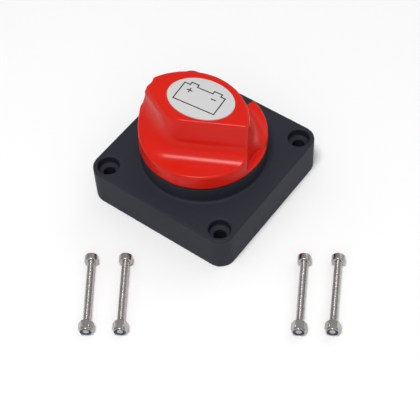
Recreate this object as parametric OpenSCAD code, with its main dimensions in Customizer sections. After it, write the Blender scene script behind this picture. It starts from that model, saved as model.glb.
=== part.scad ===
// Rotary battery isolator switch, millimetres, +Z up.
// Origin: centre of the housing's underside. The red knob turns about +Z.
// Drawn switched off, with its four mounting bolts lying loose in front.

/* [Housing] */
// Side of the square housing
base_side = 69; // [66:0.5:72]
// Height of the square part
base_h = 17.4; // [16.8:0.1:18]
// Radius of the housing's corners
base_corner_r = 6.5; // [5:0.5:8]
// Top of the round collar
collar_top_z = 25.5; // [25.2:0.1:25.6]
// Radius of the round collar
collar_r = 26; // [25:0.1:26.2]

/* [Bolt pattern] */
// Distance between mounting holes along each side
bolt_pitch = 56; // [54:0.5:57]
// Diameter of the mounting holes
bolt_hole_d = 5; // [4:0.1:5.5]
// Diameter of the counterbore over each mounting hole
counterbore_d = 9; // [8:0.1:10]
// Depth of the counterbore
counterbore_depth = 4; // [2:0.5:6]

/* [Knob] */
// Underside of the knob's skirt
knob_bottom_z = 26.1; // [26.1:0.1:26.4]
// Top of the grip ridge
knob_top_z = 50; // [49:0.5:52]
// Radius of the skirt at its bottom
skirt_r = 26.4; // [26:0.1:27]
// Height of the front scoop's floor
front_floor_z = 33.2; // [32:0.1:34]
// Height of the back scoop's floor
back_floor_z = 30.6; // [30:0.1:32]
// Direction of the grip ridge, anticlockwise from +X
ridge_angle = 7; // [0:1:9]

/* [Label] */
// Length of the elliptical label
label_length = 28.4; // [26:0.1:30]
// Width of the elliptical label
label_width = 20.2; // [18:0.1:21]
// Direction of the label's long axis, anticlockwise from +X
label_angle = 9; // [6:1:12]

/* [Terminals] */
// Diameter of the terminal studs
stud_d = 8; // [8:1:8]
// Distance from the centre to each stud
stud_offset = 14; // [13.8:0.1:14.2]

/* [Mounting bolts] */
// Diameter of the bolts' thread
bolt_d = 3; // [3:1:3]
// Length of the bolts under the head
bolt_length = 32; // [30:1:40]

/* [Hidden] */
$fn = 96;

// Distance by which a cutter runs past the face it opens
over = 1;
// Gap between pieces of one body that touch in the real thing
seat_gap = 0.05;

// Levels of the internal stack, from the terminal bay upwards
carrier_z = 12;
carrier_t = 3;
carrier_top_z = carrier_z + carrier_t;
gasket_t = 0.8;
ledge_z = carrier_top_z + gasket_t;
stud_head_t = 2.5;
tip_t = 0.7;
fixed_tip_top_z = carrier_top_z + stud_head_t + tip_t;
contact_gap = 0.1;
bridge_tip_t = 0.6;
bridge_z = fixed_tip_top_z + contact_gap + bridge_tip_t;
bridge_t = 2;
bridge_top_z = bridge_z + bridge_t;
disc_bottom_z = 22.5;

// Knob's scoops: how far each wall leans out before its fillet, and the fillets' radii, wide on the front's left
wall_lean = 1.5;
front_left_fillet_r = 14;
front_right_fillet_r = 7;
back_fillet_r = 8;
// Notches in the ends of the ridge: a flat floor on the right, a wall that flares out low down on the left
right_notch_centre = [33.5, 2.2];
right_notch_r = 10.8;
right_notch_floor_z = 28;
left_notch_centre = [-27.5, -4.5];
left_notch_r = 5.9;
left_notch_flare_z = 37;

// Housing details
cavity_r = 23.5;
upper_cavity_r = 22;
gasket_inner_r = 22.1;
carrier_r = 23.3;
carrier_screw_radius = 20.3;
carrier_screw_r = 1.5;
carrier_boss_r = 3;
side_pocket = [30, 5, 14.4];
side_pocket_offset = 29.5;

// Rotor
shaft_r = 8;
shaft_clearance = 0.05;
flange_r = 11;
flange_z = bridge_top_z + 0.2;
flange_top_z = 22.3;
shaft_top_z = 25.9;
drive_side = 11;
drive_top_z = 40;
spring_pocket_r = 4.2;
spring_pocket_top_z = 30;
o_ring_major_r = 7.3;
o_ring_minor_r = 0.7;
o_ring_z = 24.2;

// Knob fixing
knob_screw_r = 2;
web_top_z = 44;
washer_t = 0.8;

// Detents: balls drawn riding on the collar's top face
detent_radius = 18.5;
detent_ball_r = 2;
detent_ball_z = collar_top_z + detent_ball_r + 0.1;
detent_pocket_top_z = 38;

// Terminal hardware, hanging below the carrier
stud_bottom_z = 0.8;
flat_washer_t = 1.6;
spring_washer_t = 2;
terminal_nut_h = 4;
terminal_nut_flats = 13;
terminal_nut_z = carrier_z - flat_washer_t - spring_washer_t - terminal_nut_h;

// Loose mounting bolts: position of each head's outer face, and direction
bolt_places = [[-12.8, -60.1, -54.4], [-1.4, -52.2, -55.5], [57.5, -11.6, -60.4], [68.6, -3.9, -61.4]];
bolt_head_r = 2.75;
bolt_head_h = 3;
lock_nut_flats = 5.5;
lock_nut_hex_h = 3;
lock_nut_h = 4;
lock_nut_start = bolt_head_h + bolt_length - lock_nut_h + 0.2;

// Points of an arc about a centre
function arc(centre, r, from, to, steps) =
    [for (i = [0:steps]) centre + r * [cos(from + (to - from) * i / steps), sin(from + (to - from) * i / steps)]];

// Corner radius of a hexagon from its width across flats
function hex_r(flats) = flats / sqrt(3);

module rounded_square(side, r) {
    h = side / 2 - r;
    polygon(concat(arc([h, h], r, 0, 90, 12), arc([-h, h], r, 90, 180, 12),
        arc([-h, -h], r, 180, 270, 12), arc([h, -h], r, 270, 360, 12)));
}

module ellipse(length, width) {
    polygon([for (i = [0:71]) [length / 2 * cos(i * 5), width / 2 * sin(i * 5)]]);
}

module tube(r_out, r_in, z, h) {
    translate([0, 0, z])
    difference() {
        cylinder(r = r_out, h = h);
        translate([0, 0, -over]) cylinder(r = r_in, h = h + 2 * over);
    }
}

// Round wire wound into a helix of square-free rings, closed at both ends
module coil(r, wire_r, z, height, turns) {
    sides = 6;
    rings = turns * 12;
    points = [for (i = [0:rings], k = [0:sides - 1])
        let (a = 30 * i, b = 360 * k / sides, rho = r + wire_r * cos(b))
        [rho * cos(a), rho * sin(a), z + wire_r + (height - 2 * wire_r) * i / rings + wire_r * sin(b)]];
    side_faces = [for (i = [0:rings - 1], k = [0:sides - 1], half = [0, 1])
        let (p = i * sides + k, q = i * sides + (k + 1) % sides)
        half == 0 ? [p, q, q + sides] : [p, q + sides, p + sides]];
    first_end = [for (k = [0:sides - 1]) sides - 1 - k];
    last_end = [for (k = [0:sides - 1]) rings * sides + k];
    polyhedron(points, concat(side_faces, [first_end, last_end]));
}

// ---- Housing ----

module housing_block() {
    linear_extrude(base_h) rounded_square(base_side, base_corner_r);
    translate([0, 0, base_h - over]) cylinder(r = collar_r, h = collar_top_z - base_h + over - 0.6);
    translate([0, 0, collar_top_z - 0.6]) cylinder(r1 = collar_r, r2 = collar_r - 0.6, h = 0.6);
}

module mounting_hole() {
    translate([0, 0, -over]) cylinder(d = bolt_hole_d, h = base_h + 2 * over);
    translate([0, 0, base_h - counterbore_depth]) cylinder(d = counterbore_d, h = counterbore_depth + over);
}

// Screw bosses that hang from the collar's disc and stop short of the carrier
module carrier_bosses() {
    boss_z = ledge_z + 0.4;
    for (a = [45:90:315])
        rotate(a)
        translate([carrier_screw_radius, 0, boss_z]) cylinder(r = carrier_boss_r, h = disc_bottom_z - boss_z + 0.5);
}

// Ribs under the collar's disc that stop the rotor's lug at each end of its turn
module stop_ribs() {
    for (a = [66, -66])
        rotate(a)
        translate([12, -2, flange_z + 0.1]) cube([4, 4, disc_bottom_z - flange_z + 0.4]);
}

module base_housing() {
    color([0.14, 0.14, 0.15])
    difference() {
        union() {
            difference() {
                housing_block();
                translate([0, 0, -over]) cylinder(r = cavity_r, h = ledge_z + over);
                translate([0, 0, ledge_z - 0.5]) cylinder(r = upper_cavity_r, h = disc_bottom_z - ledge_z + 0.5);
            }
            carrier_bosses();
            stop_ribs();
        }
        translate([0, 0, disc_bottom_z - over]) cylinder(r = shaft_r + shaft_clearance, h = 6);
        for (x = [-1, 1], y = [-1, 1])
            translate([x * bolt_pitch / 2, y * bolt_pitch / 2, 0]) mounting_hole();
        for (a = [45:90:315])
            rotate(a)
            translate([carrier_screw_radius, 0, carrier_z]) cylinder(r = carrier_screw_r + 0.02, h = 9.3);
        for (a = [0:90:270])
            rotate(a)
            translate([-side_pocket[0] / 2, side_pocket_offset - side_pocket[1] / 2, -over])
                cube([side_pocket[0], side_pocket[1], side_pocket[2] + over]);
        for (a = [0:90:270])
            rotate(ridge_angle + a)
            translate([detent_radius, 0, collar_top_z + 1.6]) sphere(r = detent_ball_r + 0.1);
    }
}

// ---- Knob ----

// Section of a scoop: wall top at u = 0, a concave fillet, then a flat floor going outwards
module scoop_section(floor_z, fillet_r) {
    reach = 60;
    clear_z = knob_top_z + 10;
    polygon(concat([[0, clear_z], [0, knob_top_z]],
        arc([wall_lean + fillet_r, floor_z + fillet_r], fillet_r, 180, 270, 18),
        [[reach, floor_z], [reach, clear_z]]));
}

// A straight length of scoop whose wall's top edge runs through a point in one direction
module straight_scoop(point, direction, floor_z, fillet_r) {
    half_length = 60;
    translate([point[0], point[1], 0])
    rotate(direction)
    rotate([90, 0, 90])
    translate([0, 0, -half_length])
    linear_extrude(2 * half_length)
    mirror([1, 0]) scoop_section(floor_z, fillet_r);
}

// The front of the ridge: two straight walls joined by a round turn, cut as a fan of tangent walls
module front_scoop() {
    left_direction = -25.9;
    right_direction = 26.8;
    turn_centre = [-3.55, -6.2];
    turn_r = 8;
    cuts = 7;
    for (i = [0:cuts]) {
        direction = left_direction + (right_direction - left_direction) * i / cuts;
        fillet_r = front_left_fillet_r + (front_right_fillet_r - front_left_fillet_r) * i / cuts;
        touch = turn_centre + turn_r * [sin(direction), -cos(direction)];
        straight_scoop(touch, direction, front_floor_z, fillet_r);
    }
}

// The back of the ridge: one round wall
module back_scoop() {
    centre = [0.6, -12.6];
    wall_r = 25.6;
    translate([centre[0], centre[1], 0])
    rotate_extrude()
    translate([wall_r, 0]) scoop_section(back_floor_z, back_fillet_r);
}

// Broad shallow hollow in the ridge's right end, down to a ledge that the skirt keeps below it
module right_notch() {
    translate([right_notch_centre[0], right_notch_centre[1], right_notch_floor_z])
    cylinder(r = right_notch_r, h = knob_top_z);
}

// Tighter hollow in the left end, with a round bottom that runs out into the skirt
module left_notch() {
    clear_z = knob_top_z + 10;
    translate([left_notch_centre[0], left_notch_centre[1], 0])
    rotate_extrude()
    polygon(concat([[0, left_notch_flare_z - left_notch_r]],
        arc([0, left_notch_flare_z], left_notch_r, 280, 360, 8),
        [[left_notch_r, clear_z], [0, clear_z]]));
}

// Slot through the back of the skirt
module skirt_slot() {
    slot_start = 73;
    slot_end = 101;
    slot_r = 21.5;
    far_r = 32;
    translate([0, 0, knob_bottom_z - over])
    linear_extrude(10)
    polygon([slot_r * [cos(slot_start), sin(slot_start)], far_r * [cos(slot_start), sin(slot_start)],
        far_r * [cos(slot_end), sin(slot_end)], slot_r * [cos(slot_end), sin(slot_end)]]);
}

module knob_blank() {
    rotate_extrude()
    polygon([[0, knob_bottom_z], [skirt_r, knob_bottom_z], [skirt_r - 0.4, 33.5],
        [skirt_r - 1.4, knob_top_z - 1], [skirt_r - 2.2, knob_top_z], [0, knob_top_z]]);
}

// Space under the knob, around its hub and the two detent bosses
module knob_hollow() {
    hollow_top_z = 28;
    hollow_r = 21;
    hub_r = 9.2;
    boss_r = 3.6;
    lift = 0.2;
    difference() {
        translate([0, 0, knob_bottom_z - over]) cylinder(r = hollow_r, h = hollow_top_z - knob_bottom_z + over);
        translate([0, 0, knob_bottom_z + lift]) cylinder(r = hub_r, h = 10);
        for (a = [0, 180])
            rotate(ridge_angle + a)
            translate([detent_radius, 0, knob_bottom_z + lift]) cylinder(r = boss_r, h = 10);
    }
}

module knob() {
    color([0.85, 0.16, 0.1])
    difference() {
        knob_blank();
        front_scoop();
        back_scoop();
        right_notch();
        left_notch();
        skirt_slot();
        knob_hollow();
        // Socket for the rotor, screw hole and the recess for its head
        translate([0, 0, (knob_bottom_z + drive_top_z) / 2 - over / 2 + seat_gap / 2])
            cube([drive_side + 0.1, drive_side + 0.1, drive_top_z - knob_bottom_z + over + seat_gap], center = true);
        translate([0, 0, drive_top_z - over]) cylinder(r = knob_screw_r + 0.2, h = 8);
        translate([0, 0, web_top_z]) cylinder(r = 5, h = 8);
        // Coring pockets and detent spring pockets
        for (a = [0, 180])
            rotate(ridge_angle + a) {
                translate([9.7, -6, knob_bottom_z - over]) cube([4.4, 12, 19]);
                translate([detent_radius, 0, knob_bottom_z - over])
                    cylinder(r = detent_ball_r + 0.15, h = detent_pocket_top_z - knob_bottom_z + over);
            }
        translate([0, 0, knob_top_z - 0.6])
            linear_extrude(3)
            rotate(label_angle) ellipse(label_length + 0.3, label_width + 0.3);
    }
}

module label_disc() {
    color([0.83, 0.83, 0.82])
    translate([0, 0, knob_top_z - 0.55])
    linear_extrude(0.8)
    rotate(label_angle) ellipse(label_length, label_width);
}

module knob_washer() {
    color("silver")
    tube(4.5, knob_screw_r + 0.2, web_top_z + seat_gap, washer_t);
}

module knob_screw() {
    head_z = web_top_z + washer_t + 2 * seat_gap;
    color("silver")
    difference() {
        union() {
            translate([0, 0, 31.5]) cylinder(r = knob_screw_r, h = head_z - 31.4);
            translate([0, 0, head_z]) cylinder(r = 3.8, h = 2.8);
        }
        translate([0, 0, head_z + 1.2]) cylinder(r = hex_r(2.5), h = 3, $fn = 6);
    }
}

// ---- Rotor and moving contact ----

module rotor() {
    lug_angle = 46;
    color([0.24, 0.2, 0.16])
    difference() {
        union() {
            translate([0, 0, flange_z]) cylinder(r = flange_r, h = flange_top_z - flange_z);
            translate([0, 0, flange_top_z - 0.5]) cylinder(r = shaft_r, h = shaft_top_z - flange_top_z + 0.5);
            translate([-drive_side / 2, -drive_side / 2, shaft_top_z - 0.5])
                cube([drive_side, drive_side, drive_top_z - shaft_top_z + 0.5]);
            // Stop lug on the flange's edge
            rotate(lug_angle) translate([flange_r - 2, -2, flange_z]) cube([5, 4, flange_top_z - flange_z]);
            // Lugs that carry the bridge round, one on each side of it
            for (side = [-1, 1])
                translate([side * 6.3 - 1.5, -5, 18.5]) cube([3, 10, flange_z - 18.5 + 0.5]);
        }
        translate([0, 0, 18]) cylinder(r = spring_pocket_r, h = spring_pocket_top_z - 18);
        translate([0, 0, 31]) cylinder(r = knob_screw_r + 0.02, h = 10);
        tube(shaft_r + 1, o_ring_major_r - o_ring_minor_r - 0.02, o_ring_z - 0.75, 1.5);
    }
}

module rotor_o_ring() {
    color([0.08, 0.08, 0.08])
    translate([0, 0, o_ring_z])
    rotate_extrude()
    translate([o_ring_major_r, 0]) circle(r = o_ring_minor_r, $fn = 32);
}

module detent_balls() {
    color("silver")
    for (a = [0, 180])
        rotate(ridge_angle + a)
        translate([detent_radius, 0, detent_ball_z]) sphere(r = detent_ball_r, $fn = 48);
}

module detent_springs() {
    spring_z = detent_ball_z + detent_ball_r + seat_gap;
    color("silver")
    for (a = [0, 180])
        rotate(ridge_angle + a)
        translate([detent_radius, 0, 0])
        coil(1.6, 0.3, spring_z, detent_pocket_top_z - seat_gap - spring_z, 6);
}

// Copper bar, drawn across the studs' line as it stands when switched off
module contact_bridge() {
    color([0.72, 0.42, 0.24])
    difference() {
        intersection() {
            translate([-4.5, -17, bridge_z]) cube([9, 34, bridge_t]);
            translate([0, 0, bridge_z - over]) cylinder(r = 16.8, h = bridge_t + 2 * over);
        }
        translate([0, 0, bridge_z - over]) cylinder(r = 1.6, h = bridge_t + 2 * over);
    }
}

module bridge_contact_tips() {
    color([0.8, 0.8, 0.78])
    for (side = [-1, 1])
        translate([0, side * 13.4, bridge_z - bridge_tip_t]) cylinder(r = 2.8, h = bridge_tip_t);
}

module contact_spring() {
    color("silver")
    coil(3.5, 0.4, bridge_top_z + seat_gap, spring_pocket_top_z - bridge_top_z - 2 * seat_gap, 6);
}

// ---- Fixed contacts and terminals ----

// Stud with a chamfered end, and a head that stands on the carrier
module terminal_stud() {
    chamfer = 0.8;
    head_r = 5.5;
    color([0.75, 0.6, 0.35]) {
        translate([0, 0, stud_bottom_z + chamfer]) cylinder(d = stud_d, h = carrier_top_z - stud_bottom_z);
        translate([0, 0, stud_bottom_z]) cylinder(d1 = stud_d - 2 * chamfer, d2 = stud_d, h = chamfer);
        translate([0, 0, carrier_top_z + seat_gap]) cylinder(r = head_r, h = stud_head_t - seat_gap);
    }
}

module left_terminal_stud() {
    translate([-stud_offset, 0, 0]) terminal_stud();
}

module right_terminal_stud() {
    translate([stud_offset, 0, 0]) terminal_stud();
}

module on_both_studs() {
    for (side = [-1, 1])
        translate([side * stud_offset, 0, 0]) children();
}

module fixed_contact_tips() {
    color([0.8, 0.8, 0.78])
    on_both_studs()
        translate([0, 0, fixed_tip_top_z - tip_t]) cylinder(r = 3, h = tip_t);
}

module contact_carrier() {
    color([0.1, 0.1, 0.11])
    difference() {
        translate([0, 0, carrier_z]) cylinder(r = carrier_r, h = carrier_t);
        on_both_studs()
            translate([0, 0, carrier_z - over]) cylinder(d = stud_d + 0.1, h = carrier_t + 2 * over);
        for (a = [45:90:315])
            rotate(a)
            translate([carrier_screw_radius, 0, carrier_z - over])
                cylinder(r = carrier_screw_r + 0.1, h = carrier_t + 2 * over);
    }
}

module carrier_gasket() {
    color([0.05, 0.05, 0.05])
    tube(carrier_r, gasket_inner_r, carrier_top_z, gasket_t);
}

module carrier_screws() {
    head_h = 2;
    color("silver")
    for (a = [45:90:315])
        rotate(a)
        translate([carrier_screw_radius, 0, 0])
        difference() {
            union() {
                translate([0, 0, carrier_z - 0.5]) cylinder(r = carrier_screw_r, h = 9.4);
                translate([0, 0, carrier_z - head_h]) cylinder(r = 2.7, h = head_h);
            }
            for (turn = [0, 90])
                rotate(turn)
                translate([-1.5, -0.35, carrier_z - head_h - over]) cube([3, 0.7, over + 1]);
        }
}

module flat_washers() {
    color("silver")
    on_both_studs() tube(8, stud_d / 2 + 0.2, carrier_z - flat_washer_t, flat_washer_t);
}

module spring_washers() {
    z = carrier_z - flat_washer_t - spring_washer_t;
    color("silver")
    on_both_studs()
    difference() {
        tube(6.6, stud_d / 2 + 0.1, z, spring_washer_t);
        rotate([0, 20, 90]) translate([5, 0, z]) cube([6, 0.8, 12], center = true);
    }
}

module terminal_nuts() {
    color("silver")
    on_both_studs()
    translate([0, 0, terminal_nut_z])
    difference() {
        rotate(30) cylinder(r = hex_r(terminal_nut_flats), h = terminal_nut_h, $fn = 6);
        translate([0, 0, -over]) cylinder(d = stud_d + 0.1, h = terminal_nut_h + 2 * over);
    }
}

// ---- Loose mounting hardware ----

// Puts children, drawn along +Z from the head's outer face, where each bolt lies
module at_each_bolt() {
    for (place = bolt_places)
        translate([place[0], place[1], bolt_head_r])
        rotate(place[2])
        rotate([0, 90, 0])
        children();
}

module mounting_bolts() {
    color("silver")
    at_each_bolt()
    difference() {
        union() {
            cylinder(r = bolt_head_r, h = bolt_head_h, $fn = 48);
            cylinder(d = bolt_d, h = bolt_head_h + bolt_length, $fn = 32);
        }
        translate([0, 0, -over]) cylinder(r = hex_r(2.5), h = over + 1.5, $fn = 6);
    }
}

module lock_nuts() {
    bore_r = bolt_d / 2 + 0.02;
    color("silver")
    at_each_bolt()
    translate([0, 0, lock_nut_start])
    difference() {
        union() {
            rotate(30) cylinder(r = hex_r(lock_nut_flats), h = lock_nut_hex_h, $fn = 6);
            cylinder(r = 2.6, h = lock_nut_h, $fn = 48);
        }
        translate([0, 0, -over]) cylinder(r = bore_r, h = lock_nut_h + 2 * over, $fn = 32);
        translate([0, 0, lock_nut_hex_h - 0.3]) cylinder(r = 2.25, h = 2, $fn = 48);
    }
}

module lock_nut_inserts() {
    color([0.1, 0.15, 0.3])
    at_each_bolt()
    translate([0, 0, lock_nut_start + lock_nut_hex_h - 0.28])
    difference() {
        cylinder(r = 2.23, h = 1.1, $fn = 48);
        translate([0, 0, -over]) cylinder(r = bolt_d / 2 + 0.02, h = 1.1 + 2 * over, $fn = 32);
    }
}

base_housing();
knob();
label_disc();
knob_screw();
knob_washer();
rotor();
rotor_o_ring();
detent_balls();
detent_springs();
contact_bridge();
bridge_contact_tips();
contact_spring();
fixed_contact_tips();
left_terminal_stud();
right_terminal_stud();
contact_carrier();
carrier_gasket();
carrier_screws();
flat_washers();
spring_washers();
terminal_nuts();
mounting_bolts();
lock_nuts();
lock_nut_inserts();
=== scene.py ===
"""Looks of the battery isolator switch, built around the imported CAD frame. Lengths are in metres."""

import math

import bmesh
import bpy
from mathutils import Matrix, Vector


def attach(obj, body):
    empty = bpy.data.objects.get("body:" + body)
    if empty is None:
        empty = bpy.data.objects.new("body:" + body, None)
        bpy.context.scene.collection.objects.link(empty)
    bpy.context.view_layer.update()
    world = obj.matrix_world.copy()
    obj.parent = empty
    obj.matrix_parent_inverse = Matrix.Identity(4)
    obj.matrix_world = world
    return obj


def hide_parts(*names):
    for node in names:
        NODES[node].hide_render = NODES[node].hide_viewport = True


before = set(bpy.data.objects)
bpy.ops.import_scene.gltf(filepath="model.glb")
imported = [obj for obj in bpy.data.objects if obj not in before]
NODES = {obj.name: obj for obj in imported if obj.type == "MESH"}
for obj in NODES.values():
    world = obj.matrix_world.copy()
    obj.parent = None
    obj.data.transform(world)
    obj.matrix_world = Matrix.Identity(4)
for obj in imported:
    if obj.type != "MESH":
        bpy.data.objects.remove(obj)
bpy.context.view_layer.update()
MM = 0.001


# ---- Node tree helpers ----

def new_material(name):
    """A material with its Principled shader and tree."""
    material = bpy.data.materials.new(name)
    material.use_nodes = True
    tree = material.node_tree
    return material, tree, tree.nodes["Principled BSDF"]


def noise(tree, scale, detail=2.0, rough=0.5):
    """Noise in object space. scale is in features per metre."""
    where = tree.nodes.new("ShaderNodeTexCoord")
    node = tree.nodes.new("ShaderNodeTexNoise")
    node.inputs["Scale"].default_value = scale
    node.inputs["Detail"].default_value = detail
    node.inputs["Roughness"].default_value = rough
    tree.links.new(where.outputs["Object"], node.inputs["Vector"])
    return node.outputs["Fac"]


def ramp(tree, value, low, high):
    """Maps 0..1 of value to a range of numbers."""
    node = tree.nodes.new("ShaderNodeMapRange")
    node.inputs["To Min"].default_value = low
    node.inputs["To Max"].default_value = high
    tree.links.new(value, node.inputs["Value"])
    return node.outputs["Result"]


def mix(tree, fac, a, b):
    node = tree.nodes.new("ShaderNodeMix")
    node.data_type = "RGBA"
    node.inputs["A"].default_value = (*a, 1)
    node.inputs["B"].default_value = (*b, 1)
    tree.links.new(fac, node.inputs["Factor"])
    return node.outputs["Result"]


def bump(tree, shader, height, distance):
    """Small relief from a height. distance is its depth in metres."""
    node = tree.nodes.new("ShaderNodeBump")
    node.inputs["Distance"].default_value = distance
    tree.links.new(height, node.inputs["Height"])
    tree.links.new(node.outputs["Normal"], shader.inputs["Normal"])


# ---- Materials ----

def moulded(name, dark, light, rough, grain, depth, spec=0.5):
    """Moulded plastic: fine grain, slow colour drift and uneven gloss."""
    drift_scale, gloss_scale = 60, 350
    material, tree, shader = new_material(name)
    tree.links.new(mix(tree, noise(tree, drift_scale, 3), dark, light), shader.inputs["Base Color"])
    tree.links.new(ramp(tree, noise(tree, gloss_scale, 3), *rough), shader.inputs["Roughness"])
    bump(tree, shader, noise(tree, grain, 2), depth)
    shader.inputs["Specular IOR Level"].default_value = spec
    return material


def metal(name, dark, light, rough):
    """Bare metal: slow colour drift, uneven polish and a fine grain."""
    drift_scale, polish_scale, grain, depth = 240, 900, 2600, 0.00001
    material, tree, shader = new_material(name)
    tree.links.new(mix(tree, noise(tree, drift_scale, 3), dark, light), shader.inputs["Base Color"])
    tree.links.new(ramp(tree, noise(tree, polish_scale, 4), *rough), shader.inputs["Roughness"])
    bump(tree, shader, noise(tree, grain, 2), depth)
    shader.inputs["Metallic"].default_value = 1.0
    return material


NYLON = moulded("black_nylon", (0.017, 0.019, 0.027), (0.023, 0.025, 0.035), (0.58, 0.66), 2600, 0.00001,
                spec=0.2)
RED = moulded("red_plastic", (0.60, 0.011, 0.004), (0.66, 0.014, 0.006), (0.22, 0.28), 900, 0.000002,
              spec=0.17)
LABEL = moulded("label_film", (0.56, 0.56, 0.56), (0.60, 0.60, 0.60), (0.4, 0.48), 3000, 0.000002, spec=0.3)
INK = moulded("label_ink", (0.006, 0.006, 0.008), (0.01, 0.01, 0.012), (0.4, 0.5), 3000, 0.000002, spec=0.3)
STEEL = metal("bright_steel", (0.38, 0.36, 0.35), (0.52, 0.49, 0.48), (0.18, 0.34))
SPRING = metal("spring_steel", (0.4, 0.41, 0.43), (0.55, 0.56, 0.58), (0.2, 0.35))
COPPER = metal("copper", (0.62, 0.27, 0.15), (0.74, 0.36, 0.22), (0.2, 0.4))
SILVER = metal("contact_silver", (0.72, 0.71, 0.68), (0.85, 0.84, 0.8), (0.15, 0.3))
BRASS = metal("stud_brass", (0.55, 0.43, 0.2), (0.68, 0.55, 0.3), (0.2, 0.38))
PHENOLIC = moulded("brown_phenolic", (0.035, 0.02, 0.012), (0.05, 0.03, 0.018), (0.35, 0.5), 1800, 0.00002)
RUBBER = moulded("rubber", (0.012, 0.012, 0.012), (0.02, 0.02, 0.02), (0.6, 0.75), 2600, 0.00003)
INSERT = moulded("nylon_insert", (0.01, 0.018, 0.06), (0.015, 0.026, 0.085), (0.35, 0.5), 1800, 0.00001)

NODE_MATERIALS = {
    "base_housing": NYLON, "contact_carrier": NYLON, "knob": RED, "label_disc": LABEL,
    "rotor": PHENOLIC, "rotor_o_ring": RUBBER, "carrier_gasket": RUBBER,
    "contact_bridge": COPPER, "bridge_contact_tips": SILVER, "fixed_contact_tips": SILVER,
    "left_terminal_stud": BRASS, "right_terminal_stud": BRASS,
    "detent_springs": SPRING, "contact_spring": SPRING, "lock_nut_inserts": INSERT,
}
for name, node in NODES.items():
    node.data.materials.clear()
    node.data.materials.append(NODE_MATERIALS.get(name, STEEL))


# ---- Mesh helpers ----

def make_object(name, vertices, faces, material, scale=MM):
    """A mesh object from points in millimetres."""
    mesh = bpy.data.meshes.new(name)
    mesh.from_pydata([tuple(c * scale for c in v) for v in vertices], [], faces)
    mesh.validate()
    mesh.materials.append(material)
    obj = bpy.data.objects.new(name, mesh)
    bpy.context.collection.objects.link(obj)
    return obj


def smooth_by_angle(obj, degrees=35):
    obj.data.shade_smooth()
    obj.data.set_sharp_from_angle(angle=math.radians(degrees))


def apply_modifiers(obj):
    """Bakes an object's modifiers into its mesh."""
    evaluated = obj.evaluated_get(bpy.context.evaluated_depsgraph_get())
    mesh = bpy.data.meshes.new_from_object(evaluated)
    obj.modifiers.clear()
    obj.data = mesh


def remeshed_copy(node_name, name, material, voxel, smoothing):
    """A copy of a CAD node as an even mesh, with its edges rounded as a moulding's are."""
    copy = bpy.data.objects.new(name, NODES[node_name].data.copy())
    bpy.context.collection.objects.link(copy)
    remesh = copy.modifiers.new("remesh", "REMESH")
    remesh.mode = "VOXEL"
    remesh.voxel_size = voxel
    soft = copy.modifiers.new("smooth", "SMOOTH")
    soft.factor = 0.5
    soft.iterations = smoothing
    apply_modifiers(copy)
    copy.data.materials.clear()
    copy.data.materials.append(material)
    copy.data.shade_smooth()
    return copy


def revolve(profile, steps):
    """Points and faces of a closed ring of sections. profile(angle) gives one section as (r, z) points."""
    points, faces = [], []
    for i in range(steps):
        angle = 2 * math.pi * i / steps
        section = profile(angle)
        points += [(r * math.cos(angle), r * math.sin(angle), z) for r, z in section]
    count = len(section)
    for i in range(steps):
        a, b = i * count, (i + 1) % steps * count
        for k in range(count):
            n = (k + 1) % count
            faces.append((a + k, b + k, b + n, a + n))
    return points, faces


def hexagon(angle, flats):
    """Distance from the centre to the side of a hexagon with a flat facing -X and +X."""
    off = (angle + math.pi / 6) % (math.pi / 3) - math.pi / 6
    return flats / 2 / math.cos(off)


# ---- Knob and label ----

def make_knob():
    knob = remeshed_copy("knob", "knob_moulding", RED, voxel=0.0003, smoothing=24)
    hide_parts("knob")
    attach(knob, "knob_assembly")


def stroke(points, width, z, height, closed):
    """A flat line of one width along points, with mitred corners."""
    count = len(points)
    left, right = [], []
    for i, p in enumerate(points):
        here = Vector(p)
        before = Vector(points[i - 1]) if closed or i else None
        after = Vector(points[(i + 1) % count]) if closed or i < count - 1 else None
        d1 = (here - before).normalized() if before is not None else (after - here).normalized()
        d2 = (after - here).normalized() if after is not None else d1
        normal = (Vector((-d1.y, d1.x)) + Vector((-d2.y, d2.x))).normalized()
        reach = width / 2 / max(normal.dot(Vector((-d1.y, d1.x))), 0.3)
        left.append(here + normal * reach)
        right.append(here - normal * reach)
    vertices = [(p.x, p.y, z) for p in left + right] + [(p.x, p.y, z + height) for p in left + right]
    faces = []
    top = 2 * count
    for i in range(count if closed else count - 1):
        n = (i + 1) % count
        faces.append((top + i, top + count + i, top + count + n, top + n))
        faces.append((i, n, count + n, count + i))
        faces.append((i, top + i, top + n, n))
        faces.append((count + i, count + n, top + count + n, top + count + i))
    if not closed:
        last = count - 1
        faces.append((0, count, top + count, top))
        faces.append((last, top + last, top + count + last, count + last))
    return vertices, faces


def turned(points, degrees, shift):
    """Points of a flat drawing, turned and moved."""
    c, s = math.cos(math.radians(degrees)), math.sin(math.radians(degrees))
    return [(x * c - y * s + shift[0], x * s + y * c + shift[1]) for x, y in points]


LABEL_TOP = 50.17


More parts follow.
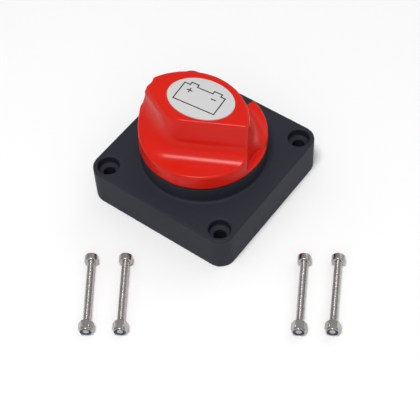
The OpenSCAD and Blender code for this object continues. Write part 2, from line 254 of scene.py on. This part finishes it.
def make_label():
    """A thin printed ellipse with a rounded edge."""
    half_length, half_width, angle = 14.1, 10.0, math.radians(9)
    bottom, shoulder, bevel = 49.5, 50.05, 0.025
    steps = 160
    # Scale and height of each ring, from the underside to the rounded top edge
    section = [(1.0, bottom), (1.0, shoulder), (1 - bevel / 3, shoulder + 0.08), (1 - bevel, LABEL_TOP)]
    points = []
    for scale, z in section:
        for i in range(steps):
            t = 2 * math.pi * i / steps
            x, y = scale * half_length * math.cos(t), scale * half_width * math.sin(t)
            across = x * math.cos(angle) - y * math.sin(angle)
            along = x * math.sin(angle) + y * math.cos(angle)
            points.append((across, along, z))
    faces = [tuple(range(steps - 1, -1, -1)), tuple(range((len(section) - 1) * steps, len(section) * steps))]
    for ring in range(len(section) - 1):
        for i in range(steps):
            n = (i + 1) % steps
            faces.append((ring * steps + i, ring * steps + n, (ring + 1) * steps + n, (ring + 1) * steps + i))
    label = make_object("label_film", points, faces, LABEL)
    smooth_by_angle(label, 60)
    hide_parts("label_disc")
    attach(label, "knob_assembly")


def make_symbol():
    """A plain battery outline with its two signs, printed on the label."""
    tilt, centre, line = 5.5, (-0.6, -0.4), 0.48
    z, height = LABEL_TOP - 0.01, 0.03
    half_sign, half_upright, half_minus, join_gap = 1.3, 1.15, 1.1, 0.01
    # The case, with its two terminals on the long top side
    outline = [(-9.2, -4.5), (-9.2, 4.6), (-6.65, 4.6), (-6.65, 5.9), (-3.45, 5.9), (-3.45, 4.6),
               (3.6, 4.6), (3.6, 5.9), (7.2, 5.9), (7.2, 4.6), (9.2, 4.6), (9.2, -4.5)]
    plus = (-5.4, 1.9)
    minus = (5.3, 2.0)
    strokes = [
        (outline, True),
        ([(plus[0] - half_sign, plus[1]), (plus[0] + half_sign, plus[1])], False),
        ([(plus[0], plus[1] + half_upright), (plus[0], plus[1] + line / 2 + join_gap)], False),
        ([(plus[0], plus[1] - line / 2 - join_gap), (plus[0], plus[1] - half_upright)], False),
        ([(minus[0] - half_minus, minus[1]), (minus[0] + half_minus, minus[1])], False),
    ]
    vertices, faces = [], []
    for points, closed in strokes:
        v, f = stroke(turned(points, tilt, centre), line, z, height, closed)
        faces += [tuple(k + len(vertices) for k in face) for face in f]
        vertices += v
    symbol = make_object("label_symbol", vertices, faces, INK)
    tidy = bmesh.new()
    tidy.from_mesh(symbol.data)
    bmesh.ops.recalc_face_normals(tidy, faces=tidy.faces)
    tidy.to_mesh(symbol.data)
    tidy.free()
    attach(symbol, "knob_assembly")


# ---- Loose bolts and nuts ----

# Outer face of each bolt's head, and the direction it points, in millimetres and degrees, as in the CAD
BOLT_PLACES = [(-12.8, -60.1, -54.4), (-1.4, -52.2, -55.5), (57.5, -11.6, -60.4), (68.6, -3.9, -61.4)]
BOLT_LIFT = 2.75
HEAD_R = 2.75
HEAD_H = 3.0
THREAD_R = 1.5
THREAD_END = 35.0
NUT_START = 31.2
NUT_FLATS = 5.5


def bolt_matrix(place):
    x, y, direction = place
    return (Matrix.Translation((x, y, BOLT_LIFT)) @ Matrix.Rotation(math.radians(direction), 4, "Z")
            @ Matrix.Rotation(math.pi / 2, 4, "Y"))


def at_each_bolt(points, faces):
    """The same mesh repeated where each bolt lies."""
    all_points, all_faces = [], []
    for place in BOLT_PLACES:
        matrix = bolt_matrix(place)
        first = len(all_points)
        all_points += [tuple(matrix @ Vector(p)) for p in points]
        all_faces += [tuple(k + first for k in face) for face in faces]
    return all_points, all_faces


def bolt_mesh():
    """A socket-cap screw along +Z: a knurled head with a hexagon socket, and a cut thread."""
    steps, pitch, depth = 96, 0.5, 0.2
    socket_flats, socket_depth = 2.5, 1.5
    knurls, knurl_depth = 32, 0.07
    rows = []
    rows.append((socket_depth, lambda a, z: 0.0))
    rows.append((socket_depth, lambda a, z: hexagon(a, socket_flats)))
    rows.append((0.12, lambda a, z: hexagon(a, socket_flats)))
    rows.append((0.0, lambda a, z: hexagon(a, socket_flats) + 0.12))

    def knurl(a, z):
        return HEAD_R - knurl_depth * (0.5 - 0.5 * math.cos(a * knurls))

    rows.append((0.0, lambda a, z: HEAD_R - 0.3))
    rows.append((0.09, lambda a, z: HEAD_R - 0.12))
    rows += [(z, knurl) for z in (0.3, 0.4, HEAD_H - 0.3)]
    rows.append((HEAD_H - 0.1, lambda a, z: HEAD_R - 0.08))
    rows.append((HEAD_H, lambda a, z: HEAD_R - 0.2))
    rows.append((HEAD_H, lambda a, z: THREAD_R + 0.05))

    def thread(a, z):
        """Radius on the thread: a V cut that fades in under the head and out at a chamfered tip."""
        phase = (z / pitch - a / (2 * math.pi)) % 1.0
        cut = min(1.0, max(0.0, (0.5 - abs(phase - 0.5)) * 2.6 - 0.15))
        fade = min(1.0, (z - HEAD_H) / 0.6) * min(1.0, max(0.15, (THREAD_END - z) / 0.4))
        tip = max(0.0, 0.4 - (THREAD_END - z)) * 0.7
        return THREAD_R - depth * cut * fade - tip

    thread_rows = 400
    rows += [(HEAD_H + (THREAD_END - HEAD_H) * (i / thread_rows), thread) for i in range(thread_rows + 1)]
    rows.append((THREAD_END, lambda a, z: 0.0))
    points, faces = [], []
    for z, radius in rows:
        for i in range(steps):
            a = 2 * math.pi * i / steps
            r = radius(a, z)
            points.append((r * math.cos(a), r * math.sin(a), z))
    for row in range(len(rows) - 1):
        for i in range(steps):
            n = (i + 1) % steps
            faces.append((row * steps + n, row * steps + i, (row + 1) * steps + i, (row + 1) * steps + n))
    return points, faces


def nut_section(angle):
    """A lock nut's section, up its outside and down its bore: chamfered hexagon, then the rolled collar."""
    bore = THREAD_R + 0.02
    hexa = hexagon(angle, NUT_FLATS)
    cone = NUT_FLATS / 2 + 0.02
    low, high = min(hexa, cone + 0.05), min(hexa, cone + 0.32)
    top = min(hexa, cone + 0.2)
    return [(bore + 0.2, 0.0), (low, 0.0), (high, 0.16), (hexa, 0.36), (hexa, 2.75), (top, 2.95),
            (2.62, 3.04), (2.6, 3.2), (2.6, 3.72), (2.54, 3.9), (2.38, 4.0), (2.27, 3.96), (2.24, 3.8),
            (2.24, 2.72), (bore, 2.7), (bore, 0.18)]


def insert_section(_angle):
    """The nylon ring's section, the same all round."""
    bore, outside = THREAD_R + 0.02, 2.22
    return [(bore, 2.75), (outside, 2.75), (outside, 3.72), (2.1, 3.82), (1.7, 3.84), (bore, 3.74)]


def lifted(points, z):
    return [(x, y, h + z) for x, y, h in points]


def make_fastener(name, node, material, mesh, angle):
    obj = make_object(name, *at_each_bolt(*mesh), material)
    clean = bmesh.new()
    clean.from_mesh(obj.data)
    bmesh.ops.remove_doubles(clean, verts=clean.verts, dist=0.0000005)
    bmesh.ops.recalc_face_normals(clean, faces=clean.faces)
    clean.to_mesh(obj.data)
    clean.free()
    smooth_by_angle(obj, angle)
    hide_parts(node)
    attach(obj, "housing")


def make_fasteners():
    make_fastener("socket_cap_bolts", "mounting_bolts", STEEL, bolt_mesh(), 40)
    nut_points, nut_faces = revolve(nut_section, 144)
    make_fastener("nyloc_nuts", "lock_nuts", STEEL, (lifted(nut_points, NUT_START), nut_faces), 30)
    ring_points, ring_faces = revolve(insert_section, 72)
    make_fastener("nyloc_rings", "lock_nut_inserts", INSERT,
                  (lifted(ring_points, NUT_START), ring_faces), 40)


def make_housing():
    housing = remeshed_copy("base_housing", "housing_moulding", NYLON, voxel=0.0004, smoothing=6)
    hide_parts("base_housing")
    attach(housing, "housing")


for name in NODES:
    smooth_by_angle(NODES[name])
make_housing()
make_knob()
make_label()
make_symbol()
make_fasteners()

# ---- Stage: floor, lights, camera ----

def make_floor():
    size = 3.0
    mesh = bpy.data.meshes.new("floor")
    corners = [(-size, -size, 0), (size, -size, 0), (size, size, 0), (-size, size, 0)]
    mesh.from_pydata(corners, [], [(0, 1, 2, 3)])
    floor = bpy.data.objects.new("floor", mesh)
    bpy.context.collection.objects.link(floor)
    material, tree, shader = new_material("pale_floor")
    colour = mix(tree, noise(tree, 3, 2), (0.95, 0.95, 0.95), (0.97, 0.97, 0.97))
    tree.links.new(colour, shader.inputs["Base Color"])
    shader.inputs["Roughness"].default_value = 0.9
    mesh.materials.append(material)


def area_light(name, place, target, size, energy):
    """A rectangular soft light that points at its target. Places in metres, energy in watts."""
    data = bpy.data.lights.new(name, "AREA")
    data.shape = "RECTANGLE"
    data.size, data.size_y = size
    data.energy = energy
    light = bpy.data.objects.new(name, data)
    bpy.context.collection.objects.link(light)
    light.location = place
    aim = Vector(target) - Vector(place)
    light.rotation_euler = aim.to_track_quat("-Z", "Y").to_euler()


def make_camera():
    """A camera turned 38.8 degrees to the right, 53.7 degrees up, with a slight roll."""
    azimuth, elevation, roll = (math.radians(a) for a in (38.8, 53.71, -3.44))
    back = Vector((math.sin(azimuth) * math.cos(elevation), -math.cos(azimuth) * math.cos(elevation),
                   math.sin(elevation)))
    level = Vector((math.cos(azimuth), math.sin(azimuth), 0))
    up = back.cross(level)
    right = level * math.cos(roll) + up * math.sin(roll)
    top = -level * math.sin(roll) + up * math.cos(roll)
    distance = 491.66 * MM
    aim_right, aim_down = 2.495 * MM, 25.67 * MM
    aim = Vector((0, 0, 20 * MM)) + right * aim_right - top * aim_down
    data = bpy.data.cameras.new("camera")
    data.sensor_width = 36
    data.lens = 102.86
    camera = bpy.data.objects.new("camera", data)
    bpy.context.collection.objects.link(camera)
    turn = Matrix((right, top, back)).transposed().to_4x4()
    camera.matrix_world = Matrix.Translation(aim + back * distance) @ turn
    bpy.context.scene.camera = camera


def make_world():
    world = bpy.data.worlds.new("studio")
    bpy.context.scene.world = world
    world.use_nodes = True
    world.node_tree.nodes["Background"].inputs["Color"].default_value = (1, 1, 1, 1)
    world.node_tree.nodes["Background"].inputs["Strength"].default_value = 0.43


make_floor()
make_world()
make_camera()
area_light("key", (0.05, -0.22, 0.8), (0, 0, 0.02), (0.2, 0.2), 3.9)
area_light("fill", (0.45, -0.55, 0.6), (0, 0, 0.02), (0.7, 0.5), 0.6)
area_light("back", (0.1, 0.7, 0.6), (0, 0, 0.03), (0.8, 0.3), 0.8)
bpy.context.scene.view_settings.view_transform = "Standard"
